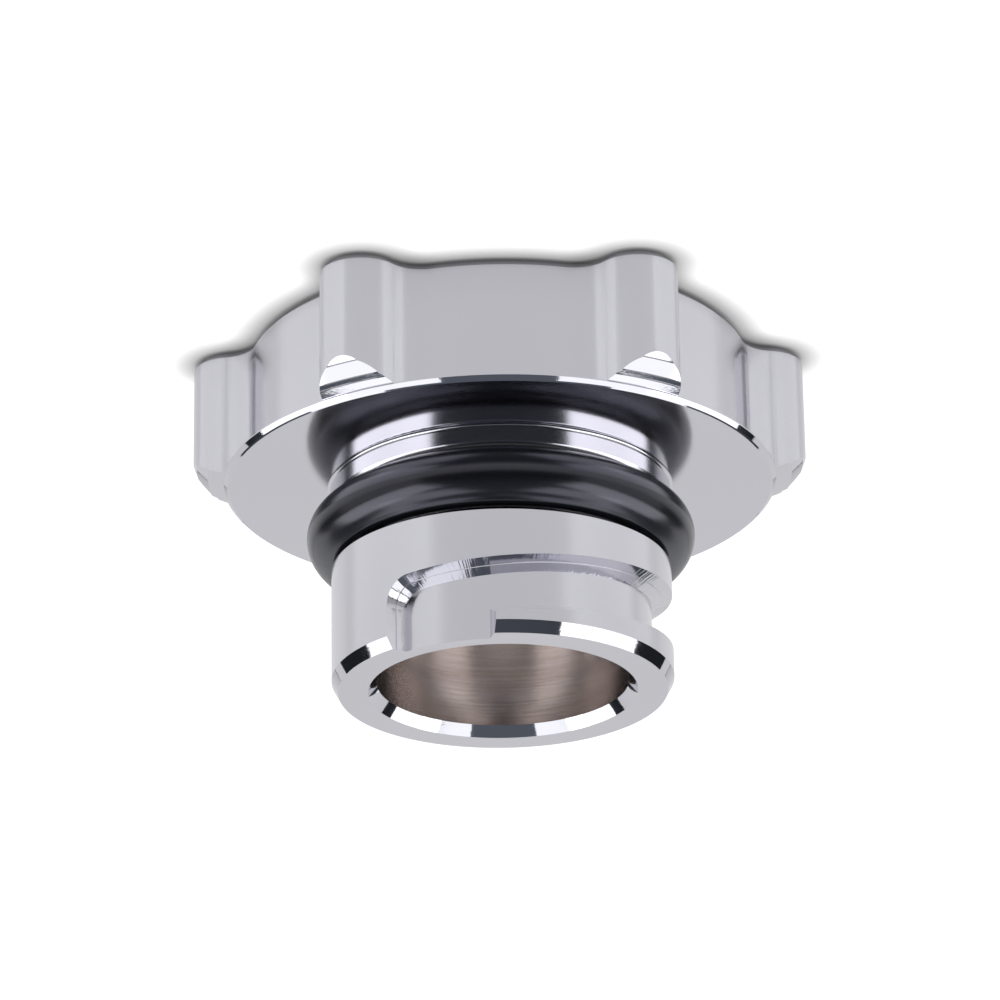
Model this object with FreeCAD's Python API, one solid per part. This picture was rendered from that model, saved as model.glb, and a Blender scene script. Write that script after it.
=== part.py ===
import FreeCAD, Part
import math
import os

# Oil filler cap, turned and milled from one bar of aluminium, with its rubber ring.
# It stands on the flat top of its knob, with the twist-lock barrel pointing up.
# Origin at the middle of the knob's top face, +Z towards the open end of the barrel.
# All sizes are in millimetres, and all angles in degrees.

# Knob
knob_radius = 34.5          # axis to the tip of a lobe
knob_height = 15.65         # flat top to the flange's face
knob_chamfer = 0.9          # edge of the flat top
lobe_count = 6
lobe_tip_radius = 4.5       # round tip of each lobe
valley_depth = 6.15         # how far the scallops sink below the lobe tips
valley_blend_radius = 4.0   # hollow corner from a scallop into a lobe

# Flange
flange_margin = 3.45        # how far the lobe tips stand out past the flange
flange_chamfer = 0.4
flange_edge_break = 0.2     # fine bevel where the chamfer meets the flange's face
flange_lip = 0.65           # thin edge left standing across the scallops
corner_height = 2.8         # height of the stepped corner under each lobe
# where one turning pass meets the next: shares of the way out from the flange, and of the corner's height
corner_passes = ((0.89, 0.3), (0.51, 0.77), (0.32, 0.88))
corner_step = 0.13          # height of the steep step left between two passes
corner_step_lean = 0.25     # how far that step leans in, as a share of its height

# Neck and ring groove
neck_height = 2.65
neck_corner_radius = 0.45   # hollow corner where neck and flange meet
ring_section = 6.6          # thickness of the rubber
ring_proud = 2.72           # how far the rubber stands out past the barrel
ring_seat_clearance = 0.05
ring_gap = 0.13             # between the rubber and the groove's side towards the knob
groove_play = 0.7           # spare width of the groove beside the rubber
groove_chamfer_depth = 0.37     # edge of the groove towards the knob, across the axis
groove_chamfer_length = 0.57    # the same edge, along the axis
groove_edge_break = 0.12    # edge of the groove towards the barrel's end

# Barrel
barrel_radius = 19.0
barrel_length = 14.25
barrel_chamfer_depth = 0.72
barrel_chamfer_length = 1.3
bore_depth = 14.0
bore_corner_radius = 1.0
bore_chamfer_depth = 0.94
bore_chamfer_length = 1.2

# Bayonet slot
slot_depth = 2.35
slot_wall = 2.65            # metal left between the slot's floor and the bore
slot_width = 6.2            # across the slot, at the barrel's outside
slot_taper = 24.5           # lean of each side wall, so that the slot narrows inwards
slot_pitch = 9.0            # rise of the ramp in a whole turn
slot_offset = 5.5           # middle of the ramp below the barrel's end, straight in front
slot_turn = 154.0           # from the middle of the mouth to the ramp's closed end
mouth_angle = 39.3          # width of the mouth round the barrel
mouth_middle = 22.0         # turn of the mouth's middle away from the front
pass_depth = 1.15           # depth of the first, slightly wider cut
pass_ledge = 0.1            # step that it leaves half way down the side walls

# Heights and radii that follow
flange_z = knob_height
lip_z = flange_z - flange_lip
groove_z = flange_z + neck_height
groove_width = ring_section + groove_play
barrel_z = groove_z + groove_width
total_height = barrel_z + barrel_length
valley_radius = knob_radius - valley_depth
flange_radius = knob_radius - flange_margin
groove_floor_radius = barrel_radius + ring_proud - ring_section - ring_seat_clearance
slot_floor_radius = barrel_radius - slot_depth
bore_radius = slot_floor_radius - slot_wall
bore_floor_z = total_height - bore_depth
cutter_margin = 2.0         # how far a cutting solid reaches past what it cuts
front = -90.0               # direction of the front, seen from above

axis = FreeCAD.Vector(0, 0, 1)
centre = FreeCAD.Vector(0, 0, 0)


def polar(radius, angle, z=0.0):
    """A point at a radius and an angle about the cap's axis."""
    turn = math.radians(angle)
    return FreeCAD.Vector(radius * math.cos(turn), radius * math.sin(turn), z)


def corner_steps():
    """Outline of the stepped corner under a lobe, from the lobe's tip in to the flange."""
    points = [(knob_radius, lip_z - corner_height)]
    for outward, upward in corner_passes:
        radius = flange_radius + flange_margin * outward
        z = lip_z - corner_height * (1 - upward)
        points.append((radius + corner_step * corner_step_lean, z - corner_step))
        points.append((radius, z))
    return points + [(flange_radius, lip_z)]


def turned_blank():
    """The bar after turning: a disc for the knob, flange, neck, groove, barrel and bore."""
    neck_fillet_z = flange_z + neck_corner_radius
    neck_fillet_r = barrel_radius + neck_corner_radius
    outline = [
        (0, 0),
        (knob_radius, 0),
    ]
    outline += corner_steps()
    outline += [
        (flange_radius, flange_z - flange_edge_break / 2 - flange_chamfer),
        (flange_radius - flange_chamfer, flange_z - flange_edge_break / 2),
        (flange_radius - flange_chamfer - flange_edge_break, flange_z),
        (neck_fillet_r, flange_z),
        (barrel_radius, neck_fillet_z),
        (barrel_radius, groove_z - groove_chamfer_length),
        (barrel_radius - groove_chamfer_depth, groove_z),
        (groove_floor_radius, groove_z),
        (groove_floor_radius, barrel_z),
        (barrel_radius - groove_edge_break, barrel_z),
        (barrel_radius, barrel_z + groove_edge_break),
        (barrel_radius, total_height - barrel_chamfer_length),
        (barrel_radius - barrel_chamfer_depth, total_height),
        (bore_radius + bore_chamfer_depth, total_height),
        (bore_radius, total_height - bore_chamfer_length),
        (bore_radius, bore_floor_z + bore_corner_radius),
        (bore_radius - bore_corner_radius, bore_floor_z),
        (0, bore_floor_z),
    ]
    # hollow corners: first point of each, with the centre of its arc
    arcs = {
        (neck_fillet_r, flange_z): (neck_fillet_r, neck_fillet_z, neck_corner_radius),
        (bore_radius, bore_floor_z + bore_corner_radius): (
            bore_radius - bore_corner_radius, bore_floor_z + bore_corner_radius, bore_corner_radius),
    }
    edges = []
    for start, end in zip(outline, outline[1:] + outline[:1]):
        a = FreeCAD.Vector(start[0], 0, start[1])
        b = FreeCAD.Vector(end[0], 0, end[1])
        if start in arcs:
            cx, cz, radius = arcs[start]
            hub = FreeCAD.Vector(cx, 0, cz)
            middle = hub + ((a + b) * 0.5 - hub).normalize() * radius
            edges.append(Part.Arc(a, middle, b).toShape())
        else:
            edges.append(Part.LineSegment(a, b).toShape())
    return Part.Face(Part.Wire(edges)).revolve(centre, axis, 360)


def lobe_outline():
    """The knob seen from above: round lobes joined by hollow corners to round scallops."""
    hub = knob_radius - lobe_tip_radius
    blend_far = valley_radius + valley_blend_radius
    blend_near = lobe_tip_radius + valley_blend_radius
    blend_x = (blend_far ** 2 - blend_near ** 2 + hub ** 2) / (2 * hub)
    blend_y = math.sqrt(blend_far ** 2 - blend_x ** 2)
    blend_angle = math.degrees(math.atan2(blend_y, blend_x))
    share = lobe_tip_radius / blend_near
    tip_end_x = hub + (blend_x - hub) * share
    tip_end_y = blend_y * share
    tip_end_angle = math.degrees(math.atan2(tip_end_y, tip_end_x))
    tip_end_radius = math.hypot(tip_end_x, tip_end_y)
    step = 360.0 / lobe_count
    edges = []
    for lobe in range(lobe_count):
        middle = front + step * (lobe + 0.5)
        tip = Part.Arc(
            polar(tip_end_radius, middle - tip_end_angle),
            polar(knob_radius, middle),
            polar(tip_end_radius, middle + tip_end_angle))
        blends = []
        for side in (1, -1):
            blend_hub = polar(blend_far, middle + side * blend_angle)
            start = polar(tip_end_radius, middle + side * tip_end_angle)
            end = polar(valley_radius, middle + side * blend_angle)
            bulge = blend_hub + ((start + end) * 0.5 - blend_hub).normalize() * valley_blend_radius
            blends.append(Part.Arc(start, bulge, end))
        scallop = Part.Arc(
            polar(valley_radius, middle + blend_angle),
            polar(valley_radius, middle + step / 2),
            polar(valley_radius, middle + step - blend_angle))
        edges += [tip.toShape(), blends[0].toShape(), scallop.toShape(), blends[1].toShape()]
    return Part.Wire(Part.__sortEdges__(edges))


def milled_scallops():
    """What the mill takes off round the lobes, down to the thin lip of the flange."""
    prism = Part.Face(lobe_outline()).extrude(axis * lip_z)
    rim = [edge for edge in prism.Edges if edge.BoundBox.ZMax < lip_z / 2]
    prism = prism.makeChamfer(knob_chamfer, rim)
    below = centre - axis * cutter_margin
    disc = Part.makeCylinder(knob_radius + cutter_margin, lip_z + cutter_margin, below)
    return disc.cut(prism)


def slot_half_width(radius, extra):
    """Half the slot's width at a distance from the axis."""
    return slot_width / 2 + extra - (barrel_radius - radius) * math.tan(math.radians(slot_taper))


def slot_cutter(floor_radius, extra):
    """The solid that one pass of the tapered mill sweeps: mouth, ramp and its closed end."""
    inner = floor_radius - cutter_margin / 2
    outer = barrel_radius + cutter_margin / 2
    near = slot_half_width(inner, extra)
    far = slot_half_width(outer, extra)
    tool_angle = math.degrees((slot_width / 2) / barrel_radius)
    # the front is at zero, and a positive turn goes clockwise seen from above
    mouth_start = -mouth_middle - mouth_angle / 2 + tool_angle
    mouth_end = -mouth_middle + mouth_angle / 2 - tool_angle
    ramp_end = -mouth_middle + slot_turn
    per_degree = slot_pitch / 360

    def ramp_z(turn):
        return total_height - slot_offset - per_degree * turn

    def tool_at(turn):
        way = polar(1, front - turn)
        return Part.makeCone(near, far, outer - inner, way * inner + axis * ramp_z(turn), way)

    start_angle = front - ramp_end
    start_z = ramp_z(ramp_end)
    height = ramp_z(mouth_start) - start_z
    spine = Part.makeHelix(slot_pitch, height, barrel_radius)
    spine.rotate(centre, axis, start_angle)
    spine.translate(axis * start_z)
    section = Part.makePolygon([
        polar(inner, start_angle, start_z - near),
        polar(outer, start_angle, start_z - far),
        polar(outer, start_angle, start_z + far),
        polar(inner, start_angle, start_z + near),
        polar(inner, start_angle, start_z - near)])
    ramp = Part.Wire(spine.Edges).makePipeShell([section], True, True)

    mouth_sides = []
    for turn, side in ((mouth_start, 1), (mouth_end, -1)):
        way = polar(1, front - turn)
        across = polar(1, front - turn + 90 * side)
        mouth_sides.append((way * inner + across * near, way * outer + across * far))
    middle = front + mouth_middle
    mouth = Part.Wire([
        Part.LineSegment(mouth_sides[0][0], mouth_sides[0][1]).toShape(),
        Part.Arc(mouth_sides[0][1], polar(mouth_sides[0][1].Length, middle), mouth_sides[1][1]).toShape(),
        Part.LineSegment(mouth_sides[1][1], mouth_sides[1][0]).toShape(),
        Part.Arc(mouth_sides[1][0], polar(mouth_sides[1][0].Length, middle), mouth_sides[0][0]).toShape()])
    mouth_floor_z = ramp_z(mouth_start)
    mouth = Part.Face(mouth).extrude(axis * (total_height + cutter_margin - mouth_floor_z))
    mouth.translate(axis * mouth_floor_z)

    swept = ramp.fuse([tool_at(mouth_start), tool_at(ramp_end), mouth])
    below = centre - axis * cutter_margin
    core = Part.makeCylinder(floor_radius, total_height + 2 * cutter_margin, below)
    return swept.cut(core)


def cap_body():
    """Knob, flange, neck and barrel in one piece."""
    body = turned_blank().cut(milled_scallops())
    for floor_radius, extra in ((slot_floor_radius, 0.0), (barrel_radius - pass_depth, pass_ledge)):
        body = body.cut(slot_cutter(floor_radius, extra))
    return body.removeSplitter()


def o_ring():
    """The rubber ring, seated on the floor of the groove and against its side towards the knob."""
    ring_middle_radius = groove_floor_radius + ring_seat_clearance + ring_section / 2
    ring_middle = axis * (groove_z + ring_gap + ring_section / 2)
    return Part.makeTorus(ring_middle_radius, ring_section / 2, ring_middle, axis)


os.makedirs("parts", exist_ok=True)
for name, shape in (("cap_body", cap_body()), ("o_ring", o_ring())):
    solid = shape.Solids[0]
    print(name, len(shape.Solids), "solid, valid", shape.isValid(), "volume", round(shape.Volume, 1))
    solid.exportStep("parts/" + name + ".step")
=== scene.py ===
import math
import bpy
from mathutils import Matrix, Quaternion, Vector


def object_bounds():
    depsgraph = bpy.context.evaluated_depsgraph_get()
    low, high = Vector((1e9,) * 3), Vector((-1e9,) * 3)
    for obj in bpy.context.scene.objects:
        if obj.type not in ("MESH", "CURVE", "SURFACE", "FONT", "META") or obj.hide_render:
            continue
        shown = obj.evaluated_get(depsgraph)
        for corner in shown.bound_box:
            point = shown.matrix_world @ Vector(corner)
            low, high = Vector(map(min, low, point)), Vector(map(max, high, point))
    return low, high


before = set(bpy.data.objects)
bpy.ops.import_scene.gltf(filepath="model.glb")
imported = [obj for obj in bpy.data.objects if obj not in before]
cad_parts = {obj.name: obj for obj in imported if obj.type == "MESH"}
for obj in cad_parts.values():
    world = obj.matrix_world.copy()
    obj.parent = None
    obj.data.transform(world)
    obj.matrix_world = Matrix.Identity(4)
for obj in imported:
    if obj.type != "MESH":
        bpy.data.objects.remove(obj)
cad_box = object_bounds()


# Cap body
# One piece of aluminium bar: a six-lobed knob, a flange, a neck, and a hollow barrel with a twist-lock slot.
# The round forms are turned on a lathe, and the lobes and the slot are milled. The whole is clear anodised.

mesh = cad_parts["cap_body"].data

# the cap's own sizes in metres, with heights measured from the knob's flat top
knob_height = 0.01565
flange_lip = 0.00065
corner_height = 0.0028
neck_height = 0.00265
groove_width = 0.0073
barrel_radius = 0.019
slot_depth = 0.00235
slot_wall = 0.00265
bore_depth = 0.014
bore_chamfer = 0.00094
neck_nose = 0.00045
bore_nose = 0.001
end_chamfer_slope = 0.48

end_height = cad_box[1][2]
lip_low = knob_height - flange_lip
terrace_low = lip_low - corner_height
groove_top = knob_height + neck_height + groove_width
slot_floor_radius = barrel_radius - slot_depth
bore_radius = slot_floor_radius - slot_wall
bore_floor = end_height - bore_depth
# just above the flange's face, and just below the slot's lowest reach
neck_low = 0.0157
slot_low = 0.02725

# hollow corners left by the tool's nose: the distance of the nose's middle from the axis, its height and
# its radius, and the side of the middle on which the metal lies, across and along the axis
nose_corners = (
    (barrel_radius + neck_nose, knob_height + neck_nose, neck_nose, -1, -1),
    (bore_radius - bore_nose, bore_floor + bore_nose, bore_nose, 1, -1),
)

# how far a facet may be off and still count as on the true form: its place in metres, the lean of an upright
# wall, the turn of a facet away from the axis' direction, and its distance from a nose's middle, as a share
hair = 0.00003
upright = 0.02
skew = 0.03
nose_slack = 0.2
# a normal with this much of its length along or straight away from the axis faces that way
facing = 0.99
# facets that meet at less than this angle belong to one smooth face
crease = math.radians(22)
# how far the normals of the milled walls lean away from the axis, for shading only: it narrows the bright
# bands on the lobes' flanks
flank_ease = 0.155

milled, chamfered, faced, turned, slotted, bored = range(6)


def slope_of(face):
    """A face's lean: its normal's part away from the axis, and its part round the axis."""
    radius = math.hypot(face.center.x, face.center.y)
    outward = (face.normal.x * face.center.x + face.normal.y * face.center.y) / radius
    around = (face.normal.y * face.center.x - face.normal.x * face.center.y) / radius
    return outward, around


def finish_of(face):
    """Which cut left a face: the mill round the lobes, a lathe tool, the slot's mill or the boring bar."""
    radius = math.hypot(face.center.x, face.center.y)
    height = face.center.z
    tilt = face.normal.z
    outward, around = slope_of(face)
    if height < hair:
        return faced
    if height < terrace_low:
        return milled
    if height < lip_low + hair and (abs(tilt) < upright or tilt < -facing):
        return milled
    if radius < bore_radius + hair and height > bore_floor - hair:
        return bored
    on_end = tilt > facing and height > end_height - hair
    on_chamfer = abs(tilt - end_chamfer_slope) < upright and abs(around) < skew
    in_wall = bore_radius + bore_chamfer < radius < barrel_radius - hair
    if height > slot_low and in_wall and not on_end and not on_chamfer:
        return turned if outward > facing and abs(tilt) < upright else slotted
    if height > groove_top and outward > facing:
        return turned
    if abs(tilt) > facing or outward > facing or neck_low < height < slot_low:
        return faced
    return chamfered


def turned_lean(face):
    """A turned face's normal, outward and up, from its corners, because they lie on the true cone."""
    corners = [mesh.vertices[vertex].co for vertex in face.vertices]
    ends = sorted((corner.z, math.hypot(corner.x, corner.y)) for corner in corners)
    rise = ends[-1][0] - ends[0][0]
    spread = ends[-1][1] - ends[0][1]
    length = math.hypot(rise, spread)
    outward, tilt = slope_of(face)[0], face.normal.z
    if length < hair:
        return outward, tilt
    scale = math.copysign(1 / length, rise * outward - spread * tilt)
    return rise * scale, -spread * scale


def turned_normal(face, point):
    """The true normal of a turned face at one of its corners."""
    radius = math.hypot(point.x, point.y)
    if radius < hair:
        return face.normal.copy()
    outward, tilt = turned_lean(face)
    for middle_radius, middle_height, nose, across, along in nose_corners:
        far = math.hypot(face.center.x, face.center.y) - middle_radius
        high = face.center.z - middle_height
        if far * across > 0 and high * along > 0 and abs(math.hypot(far, high) - nose) < nose * nose_slack:
            outward, tilt = (middle_radius - radius) / nose, (middle_height - point.z) / nose
    normal = Vector((outward * point.x / radius, outward * point.y / radius, tilt))
    return normal.normalized()


def spot_of(point):
    """A point's place in tenths of a micrometre, the same for all the facets that meet there."""
    return tuple(round(c * 1e7) for c in point)


def milled_normal(face, point):
    """The mean normal of the facets of one smooth milled face that meet at a corner."""
    finish = finishes[face.index]
    normal = Vector((0, 0, 0))
    for other, angle in meeting[spot_of(point)]:
        beside = mesh.polygons[other].normal
        if finishes[other] == finish and beside.dot(face.normal) > math.cos(crease):
            normal += beside * angle
    normal.normalize()
    if finish == milled and abs(normal.z) < upright:
        normal += Vector((point.x, point.y, 0)).normalized() * flank_ease
    return normal.normalized()


finishes = [finish_of(face) for face in mesh.polygons]
# for each corner, the facets that meet there and the angle of each
meeting = {}
for face in mesh.polygons:
    corners = [mesh.vertices[vertex].co for vertex in face.vertices]
    for i, here in enumerate(corners):
        one = corners[i - 1] - here
        other = corners[(i + 1) % len(corners)] - here
        meeting.setdefault(spot_of(here), []).append((face.index, one.angle(other, 0.0)))
corner_normals = []
for face in mesh.polygons:
    normal_at = milled_normal if finishes[face.index] in (milled, slotted) else turned_normal
    for vertex in face.vertices:
        corner_normals.append(normal_at(face, mesh.vertices[vertex].co))
mesh.polygons.foreach_set("use_smooth", [True] * len(mesh.polygons))
mesh.normals_split_custom_set(corner_normals)


def linear(hex_colour):
    """A colour written as sRGB hex, in the linear values that shaders take."""
    channels = [int(hex_colour[i:i + 2], 16) / 255 for i in (1, 3, 5)]
    return [c / 12.92 if c <= 0.04045 else ((c + 0.055) / 1.055) ** 2.4 for c in channels] + [1.0]


def add(tree, kind, inputs=None, **settings):
    """Adds a node. An input is a value, or a node's output to link it to."""
    made = tree.nodes.new(kind)
    for name, value in settings.items():
        setattr(made, name, value)
    for name, value in (inputs or {}).items():
        if isinstance(value, bpy.types.NodeSocket):
            tree.links.new(value, made.inputs[name])
        else:
            made.inputs[name].default_value = value
    return made


def bare_metal(name, colour, roughness, anisotropic):
    """A metal finish. Where it is anisotropic, its highlights stretch across marks that run round the axis."""
    made = bpy.data.materials.new(name)
    made.use_nodes = True
    tree = made.node_tree
    shader = tree.nodes["Principled BSDF"]
    shader.inputs["Base Color"].default_value = linear(colour)
    shader.inputs["Metallic"].default_value = 1.0
    shader.inputs["Roughness"].default_value = roughness
    shader.inputs["Anisotropic"].default_value = anisotropic
    way = add(tree, "ShaderNodeTangent", direction_type="RADIAL", axis="Z")
    tree.links.new(way.outputs["Tangent"], shader.inputs["Tangent"])
    return made


def marks(finish, stretch, size, depth):
    """Tool marks as bump. stretch takes a point to the pattern's space, and size is a mark's width."""
    tree = finish.node_tree
    pattern = add(tree, "ShaderNodeTexNoise", {"Vector": stretch(tree), "Scale": 1 / size})
    bump = add(tree, "ShaderNodeBump", {"Height": pattern.outputs["Fac"], "Distance": depth})
    tree.links.new(bump.outputs["Normal"], tree.nodes["Principled BSDF"].inputs["Normal"])
    return pattern


def round_marks(tree):
    """Distance from the axis and height, and a fiftieth of the place itself, so that the rings slowly fade."""
    spot = add(tree, "ShaderNodeTexCoord")
    parts = add(tree, "ShaderNodeSeparateXYZ", {"Vector": spot.outputs["Object"]})
    flat = add(tree, "ShaderNodeCombineXYZ", {"X": parts.outputs["X"], "Y": parts.outputs["Y"]})
    radius = add(tree, "ShaderNodeVectorMath", {0: flat.outputs["Vector"]}, operation="LENGTH")
    rings = add(tree, "ShaderNodeCombineXYZ", {"X": radius.outputs["Value"], "Z": parts.outputs["Z"]})
    drift = add(tree, "ShaderNodeVectorMath", {0: spot.outputs["Object"], "Scale": 0.02}, operation="SCALE")
    joined = add(tree, "ShaderNodeVectorMath", {0: rings.outputs["Vector"], 1: drift.outputs["Vector"]})
    return joined.outputs["Vector"]


def upright_marks(tree):
    """The height squeezed 25 times, so that the marks are streaks along the axis."""
    spot = add(tree, "ShaderNodeTexCoord")
    squeezed = add(tree, "ShaderNodeVectorMath", {
        0: spot.outputs["Object"], 1: (1, 1, 0.04)}, operation="MULTIPLY")
    return squeezed.outputs["Vector"]


def cross_marks(tree):
    """Way round the slot's floor, and the height squeezed, so that the marks are streaks across the walls."""
    spot = add(tree, "ShaderNodeTexCoord")
    parts = add(tree, "ShaderNodeSeparateXYZ", {"Vector": spot.outputs["Object"]})
    angle = add(tree, "ShaderNodeMath", {0: parts.outputs["Y"], 1: parts.outputs["X"]}, operation="ARCTAN2")
    way = add(tree, "ShaderNodeMath", {0: angle.outputs["Value"], 1: slot_floor_radius}, operation="MULTIPLY")
    low = add(tree, "ShaderNodeMath", {0: parts.outputs["Z"], 1: 0.15}, operation="MULTIPLY")
    joined = add(tree, "ShaderNodeCombineXYZ", {"X": way.outputs["Value"], "Z": low.outputs["Value"]})
    return joined.outputs["Vector"]


def plain_marks(tree):
    """No stretch: the marks are as long as they are wide."""
    return add(tree, "ShaderNodeTexCoord").outputs["Object"]


# clear anodised aluminium reflects about 70% of the light, and a little more of the blue
anodised = "#D9D8DF"
# real tool marks lie 0.05 to 0.1 mm apart, too fine to show, so they are drawn 0.2 to 0.4 mm wide
# side-milled: a soft sheen with faint streaks along the mill's axis
milled_finish = bare_metal("anodised_aluminium_side_milled", anodised, roughness=0.16, anisotropic=0.0)
marks(milled_finish, upright_marks, size=0.0004, depth=0.000014)
# chamfers, cut with a form tool: close to a mirror, and the tool's chatter leaves reflections a ragged edge
chamfer_finish = bare_metal("anodised_aluminium_chamfered", anodised, roughness=0.05, anisotropic=0.0)
marks(chamfer_finish, plain_marks, size=0.0004, depth=0.000002)
# faced and turned with a fine feed: hardly any rings, and reflections that smear towards the rim
faced_finish = bare_metal("anodised_aluminium_faced", anodised, roughness=0.13, anisotropic=0.6)
marks(faced_finish, round_marks, size=0.0003, depth=0.0000005)
# turned with a coarser feed: a satin band
turned_finish = bare_metal("anodised_aluminium_turned", anodised, roughness=0.14, anisotropic=0.4)
marks(turned_finish, round_marks, size=0.0004, depth=0.000001)
# the slot's walls, cut by the side of a small end mill: bright, with chatter in streaks across them
slot_finish = bare_metal("anodised_aluminium_slot_milled", anodised, roughness=0.09, anisotropic=0.0)
marks(slot_finish, cross_marks, size=0.0004, depth=0.00004)
# bored inside: a thin film with a warm tint, and streaks that run round, some of them darker
bright_film = "#E2DDDD"
dark_film = "#D6CEC9"
bored_finish = bare_metal("anodised_aluminium_bored", bright_film, roughness=0.19, anisotropic=0.4)
rings = marks(bored_finish, round_marks, size=0.0002, depth=0.000003)
tree = bored_finish.node_tree
contrast = add(tree, "ShaderNodeMapRange", {
    "Value": rings.outputs["Fac"], "From Min": 0.35, "From Max": 0.65})
film = add(tree, "ShaderNodeMix", {
    "Factor": contrast.outputs[0], "A": linear(dark_film), "B": linear(bright_film)}, data_type="RGBA")
tree.links.new(film.outputs["Result"], tree.nodes["Principled BSDF"].inputs["Base Color"])

mesh.materials.clear()
for finish in (milled_finish, chamfer_finish, faced_finish, turned_finish, slot_finish, bored_finish):
    mesh.materials.append(finish)
mesh.polygons.foreach_set("material_index", finishes)


# O-ring
# A moulded ring of black nitrile rubber. It is stretched over the barrel and snaps into the groove,
# where it stands out past the barrel and seals in the mouth of the filler neck.

ring_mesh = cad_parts["o_ring"].data
# smooth black rubber: soft grey highlights, a little blue, from the skin that the mould leaves
rubber = bpy.data.materials.new("nitrile_rubber_moulded")
rubber.use_nodes = True
shader = rubber.node_tree.nodes["Principled BSDF"]
shader.inputs["Base Color"].default_value = linear("#17181C")
shader.inputs["Roughness"].default_value = 0.22
shader.inputs["Specular IOR Level"].default_value = 1.0
shader.inputs["Specular Tint"].default_value = linear("#ECEDFF")
ring_mesh.materials.clear()
ring_mesh.materials.append(rubber)


# Table
# A flat table in gloss white enamel, on which the cap stands. It shows as plain white, and keeps the cap's
# shadow from the lamps, with a painted contact shadow added that is darkest along the edge that touches the
# table.

table_size = 4
# share of the lamps' light that the enamel gives back to the rubber, to the metal and to the camera
lit_share = 0.8
mirrored_share = 0.3
seen_share = 0.25
# the table's own white in the metal, where 1 is what the camera sees
mirrored_white = 0.64
# painted shadow: the white glow darkens within this distance of the cap, more steeply for the camera than for
# the metal
painted_shadow_reach = 0.0033
painted_shadow_steepness_in_metal = 1.0
painted_shadow_steepness_for_camera = 1.8
gloss_roughness = 0.27
enamel_ior = 1.9

bpy.ops.mesh.primitive_plane_add(size=table_size, location=(0, 0, 0))
table = bpy.context.object
table.name = "table"
table_paint = bpy.data.materials.new("gloss_white_table_enamel")
table_paint.use_nodes = True
tree = table_paint.node_tree
tree.nodes.clear()
rays = add(tree, "ShaderNodeLightPath")
seen = rays.outputs["Is Camera Ray"]
mirrored = rays.outputs["Is Glossy Ray"]
other_shade = add(tree, "ShaderNodeMapRange", {
    "Value": mirrored, "To Min": lit_share, "To Max": mirrored_share})
shade = add(tree, "ShaderNodeMapRange", {
    "Value": seen, "To Min": other_shade.outputs[0], "To Max": seen_share})
paint = add(tree, "ShaderNodeBsdfDiffuse", {"Color": shade.outputs[0]})
# painted contact shadow: ambient occlusion darkens the table's white glow near the cap, for the camera and in
# the metal
painted_shadow_occlusion = add(tree, "ShaderNodeAmbientOcclusion", {"Distance": painted_shadow_reach}, samples=8)
painted_shadow_steepness_by_ray = add(tree, "ShaderNodeMapRange", {
    "Value": seen, "To Min": painted_shadow_steepness_in_metal, "To Max": painted_shadow_steepness_for_camera})
painted_contact_shadow = add(tree, "ShaderNodeMath", {0: painted_shadow_occlusion.outputs["AO"], 1: painted_shadow_steepness_by_ray.outputs[0]}, operation="POWER")
in_metal = add(tree, "ShaderNodeMath", {0: mirrored, 1: mirrored_white}, operation="MULTIPLY")
white_level = add(tree, "ShaderNodeMath", {0: in_metal.outputs[0], 1: seen})
glow_level_with_painted_shadow = add(tree, "ShaderNodeMath", {
    0: white_level.outputs[0], 1: painted_contact_shadow.outputs[0]}, operation="MULTIPLY")
glow = add(tree, "ShaderNodeEmission", {"Strength": glow_level_with_painted_shadow.outputs[0]})
white = add(tree, "ShaderNodeAddShader", {0: paint.outputs[0], 1: glow.outputs[0]})
# the metal also sees the lamps in the enamel's gloss
gloss = add(tree, "ShaderNodeBsdfGlossy", {"Roughness": gloss_roughness})
edge = add(tree, "ShaderNodeFresnel", {"IOR": enamel_ior})
gloss_share = add(tree, "ShaderNodeMath", {0: edge.outputs[0], 1: mirrored}, operation="MULTIPLY")
enamel = add(tree, "ShaderNodeMixShader", {
    0: gloss_share.outputs[0], 1: white.outputs[0], 2: gloss.outputs[0]})
add(tree, "ShaderNodeOutputMaterial", {"Surface": enamel.outputs[0]})
table.data.materials.append(table_paint)


# Lamps
# Soft lamps on both sides, one above the other, and pale screens behind and low at the sides.
# The camera's side of the room is dark, which gives the metal its dark reflections.


def lamp(name, azimuth, elevation, distance, size, level, twist=0):
    """A soft lamp that faces the cap. Azimuth 0 is the camera's side, and 90 is +X. twist is about its aim."""
    around = math.radians(azimuth)
    up = math.radians(elevation)
    way = Vector((math.sin(around) * math.cos(up), -math.cos(around) * math.cos(up), math.sin(up)))
    data = bpy.data.lights.new(name, "AREA")
    data.shape = "RECTANGLE"
    width, height = size
    data.size = width
    data.size_y = height
    data.energy = level * math.pi * width * height
    made = bpy.data.objects.new(name, data)
    made.location = way * distance
    aim = way.to_track_quat("Z", "Y") @ Quaternion((0, 0, 1), math.radians(twist))
    made.rotation_euler = aim.to_euler()
    bpy.context.scene.collection.objects.link(made)


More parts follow.
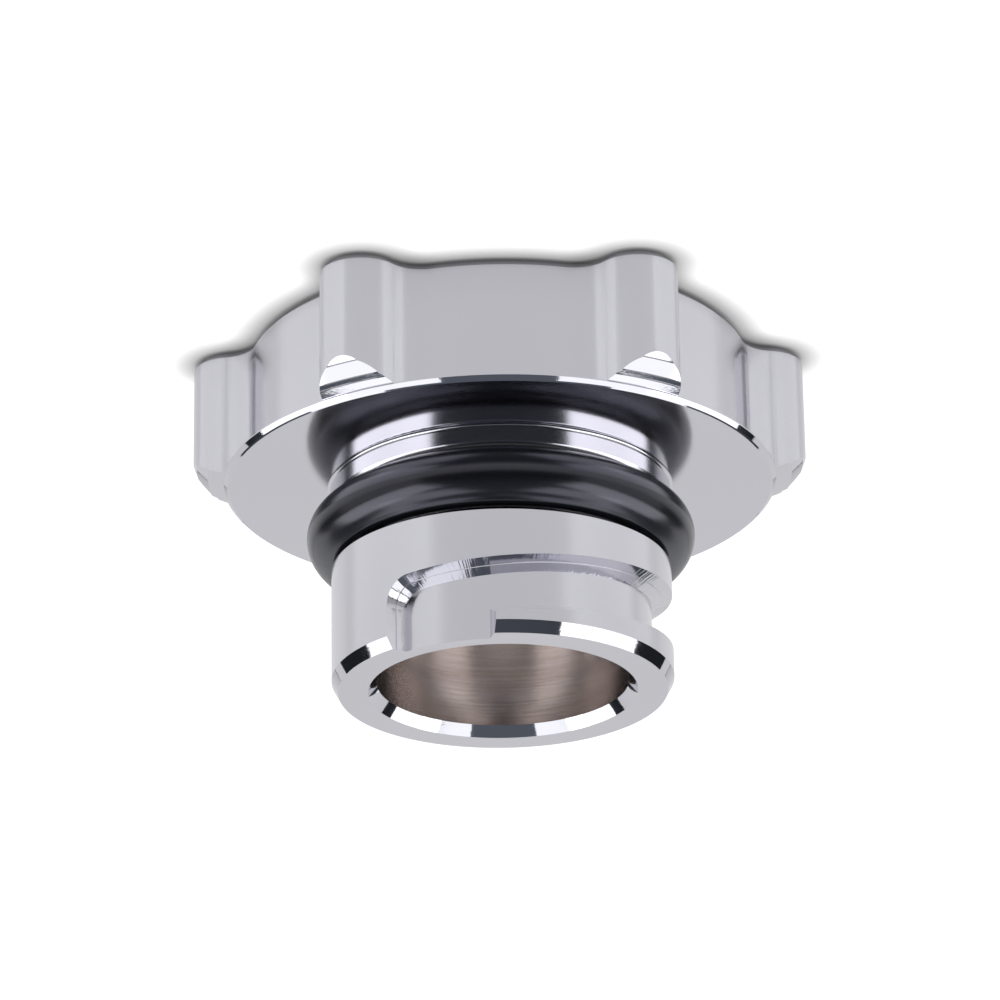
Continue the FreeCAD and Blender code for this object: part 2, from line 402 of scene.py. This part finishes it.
for side, name in ((1, "right"), (-1, "left")):
    lamp(name + "_softbox", side * 82, 35, distance=0.62, size=(0.78, 0.31), level=1.8)
    lamp(name + "_top_softbox", side * 75, 60, distance=0.8, size=(0.54, 0.34), level=1.25, twist=side * -25)
    lamp(name + "_back_softbox", side * 138, 58, distance=0.8, size=(0.4, 0.2), level=1.3, twist=side * -20)
    lamp(name + "_side_screen", side * 76, 8, distance=0.9, size=(1.0, 0.24), level=0.4)
lamp("back_screen", 180, 16, distance=1.0, size=(2.2, 0.56), level=0.72)

# the room: dark round the cap, and a little lighter from 20 degrees up to the ceiling
world = bpy.data.worlds.new("studio")
world.use_nodes = True
tree = world.node_tree
aim = add(tree, "ShaderNodeTexCoord")
rise = add(tree, "ShaderNodeSeparateXYZ", {"Vector": aim.outputs["Generated"]})
room_level = add(tree, "ShaderNodeMapRange", {
    "Value": rise.outputs["Z"], "From Min": 0.35, "From Max": 0.8, "To Min": 0.02, "To Max": 0.14})
tree.links.new(room_level.outputs[0], tree.nodes["Background"].inputs["Strength"])
tree.nodes["Background"].inputs["Color"].default_value = linear("#E2EEFF")
bpy.context.scene.world = world


# Camera
# It looks down at the barrel's open end by 22.5 degrees, at the photograph's angle,
# and is rolled over so that the knob is at the top of the picture.

elevation = math.radians(22.5003)
roll = math.radians(-0.86)
turn = Matrix.Rotation(math.radians(0.4), 4, "Z")
camera_place = Matrix.Translation((0.0000353, -0.54351, 0.24198))

right = Vector((-1, 0, 0))
up = Vector((0, -math.sin(elevation), -math.cos(elevation)))
back = Vector((0, -math.cos(elevation), math.sin(elevation)))
across = right * math.cos(roll) + up * math.sin(roll)
over = up * math.cos(roll) - right * math.sin(roll)
axes = Matrix((across, over, back)).transposed().to_4x4()
camera_data = bpy.data.cameras.new("camera")
camera_data.sensor_width = 36
camera_data.lens = 188.5
camera = bpy.data.objects.new("camera", camera_data)
camera.matrix_world = turn @ camera_place @ axes
bpy.context.scene.collection.objects.link(camera)
bpy.context.scene.camera = camera

bpy.context.scene.view_settings.view_transform = "Standard"
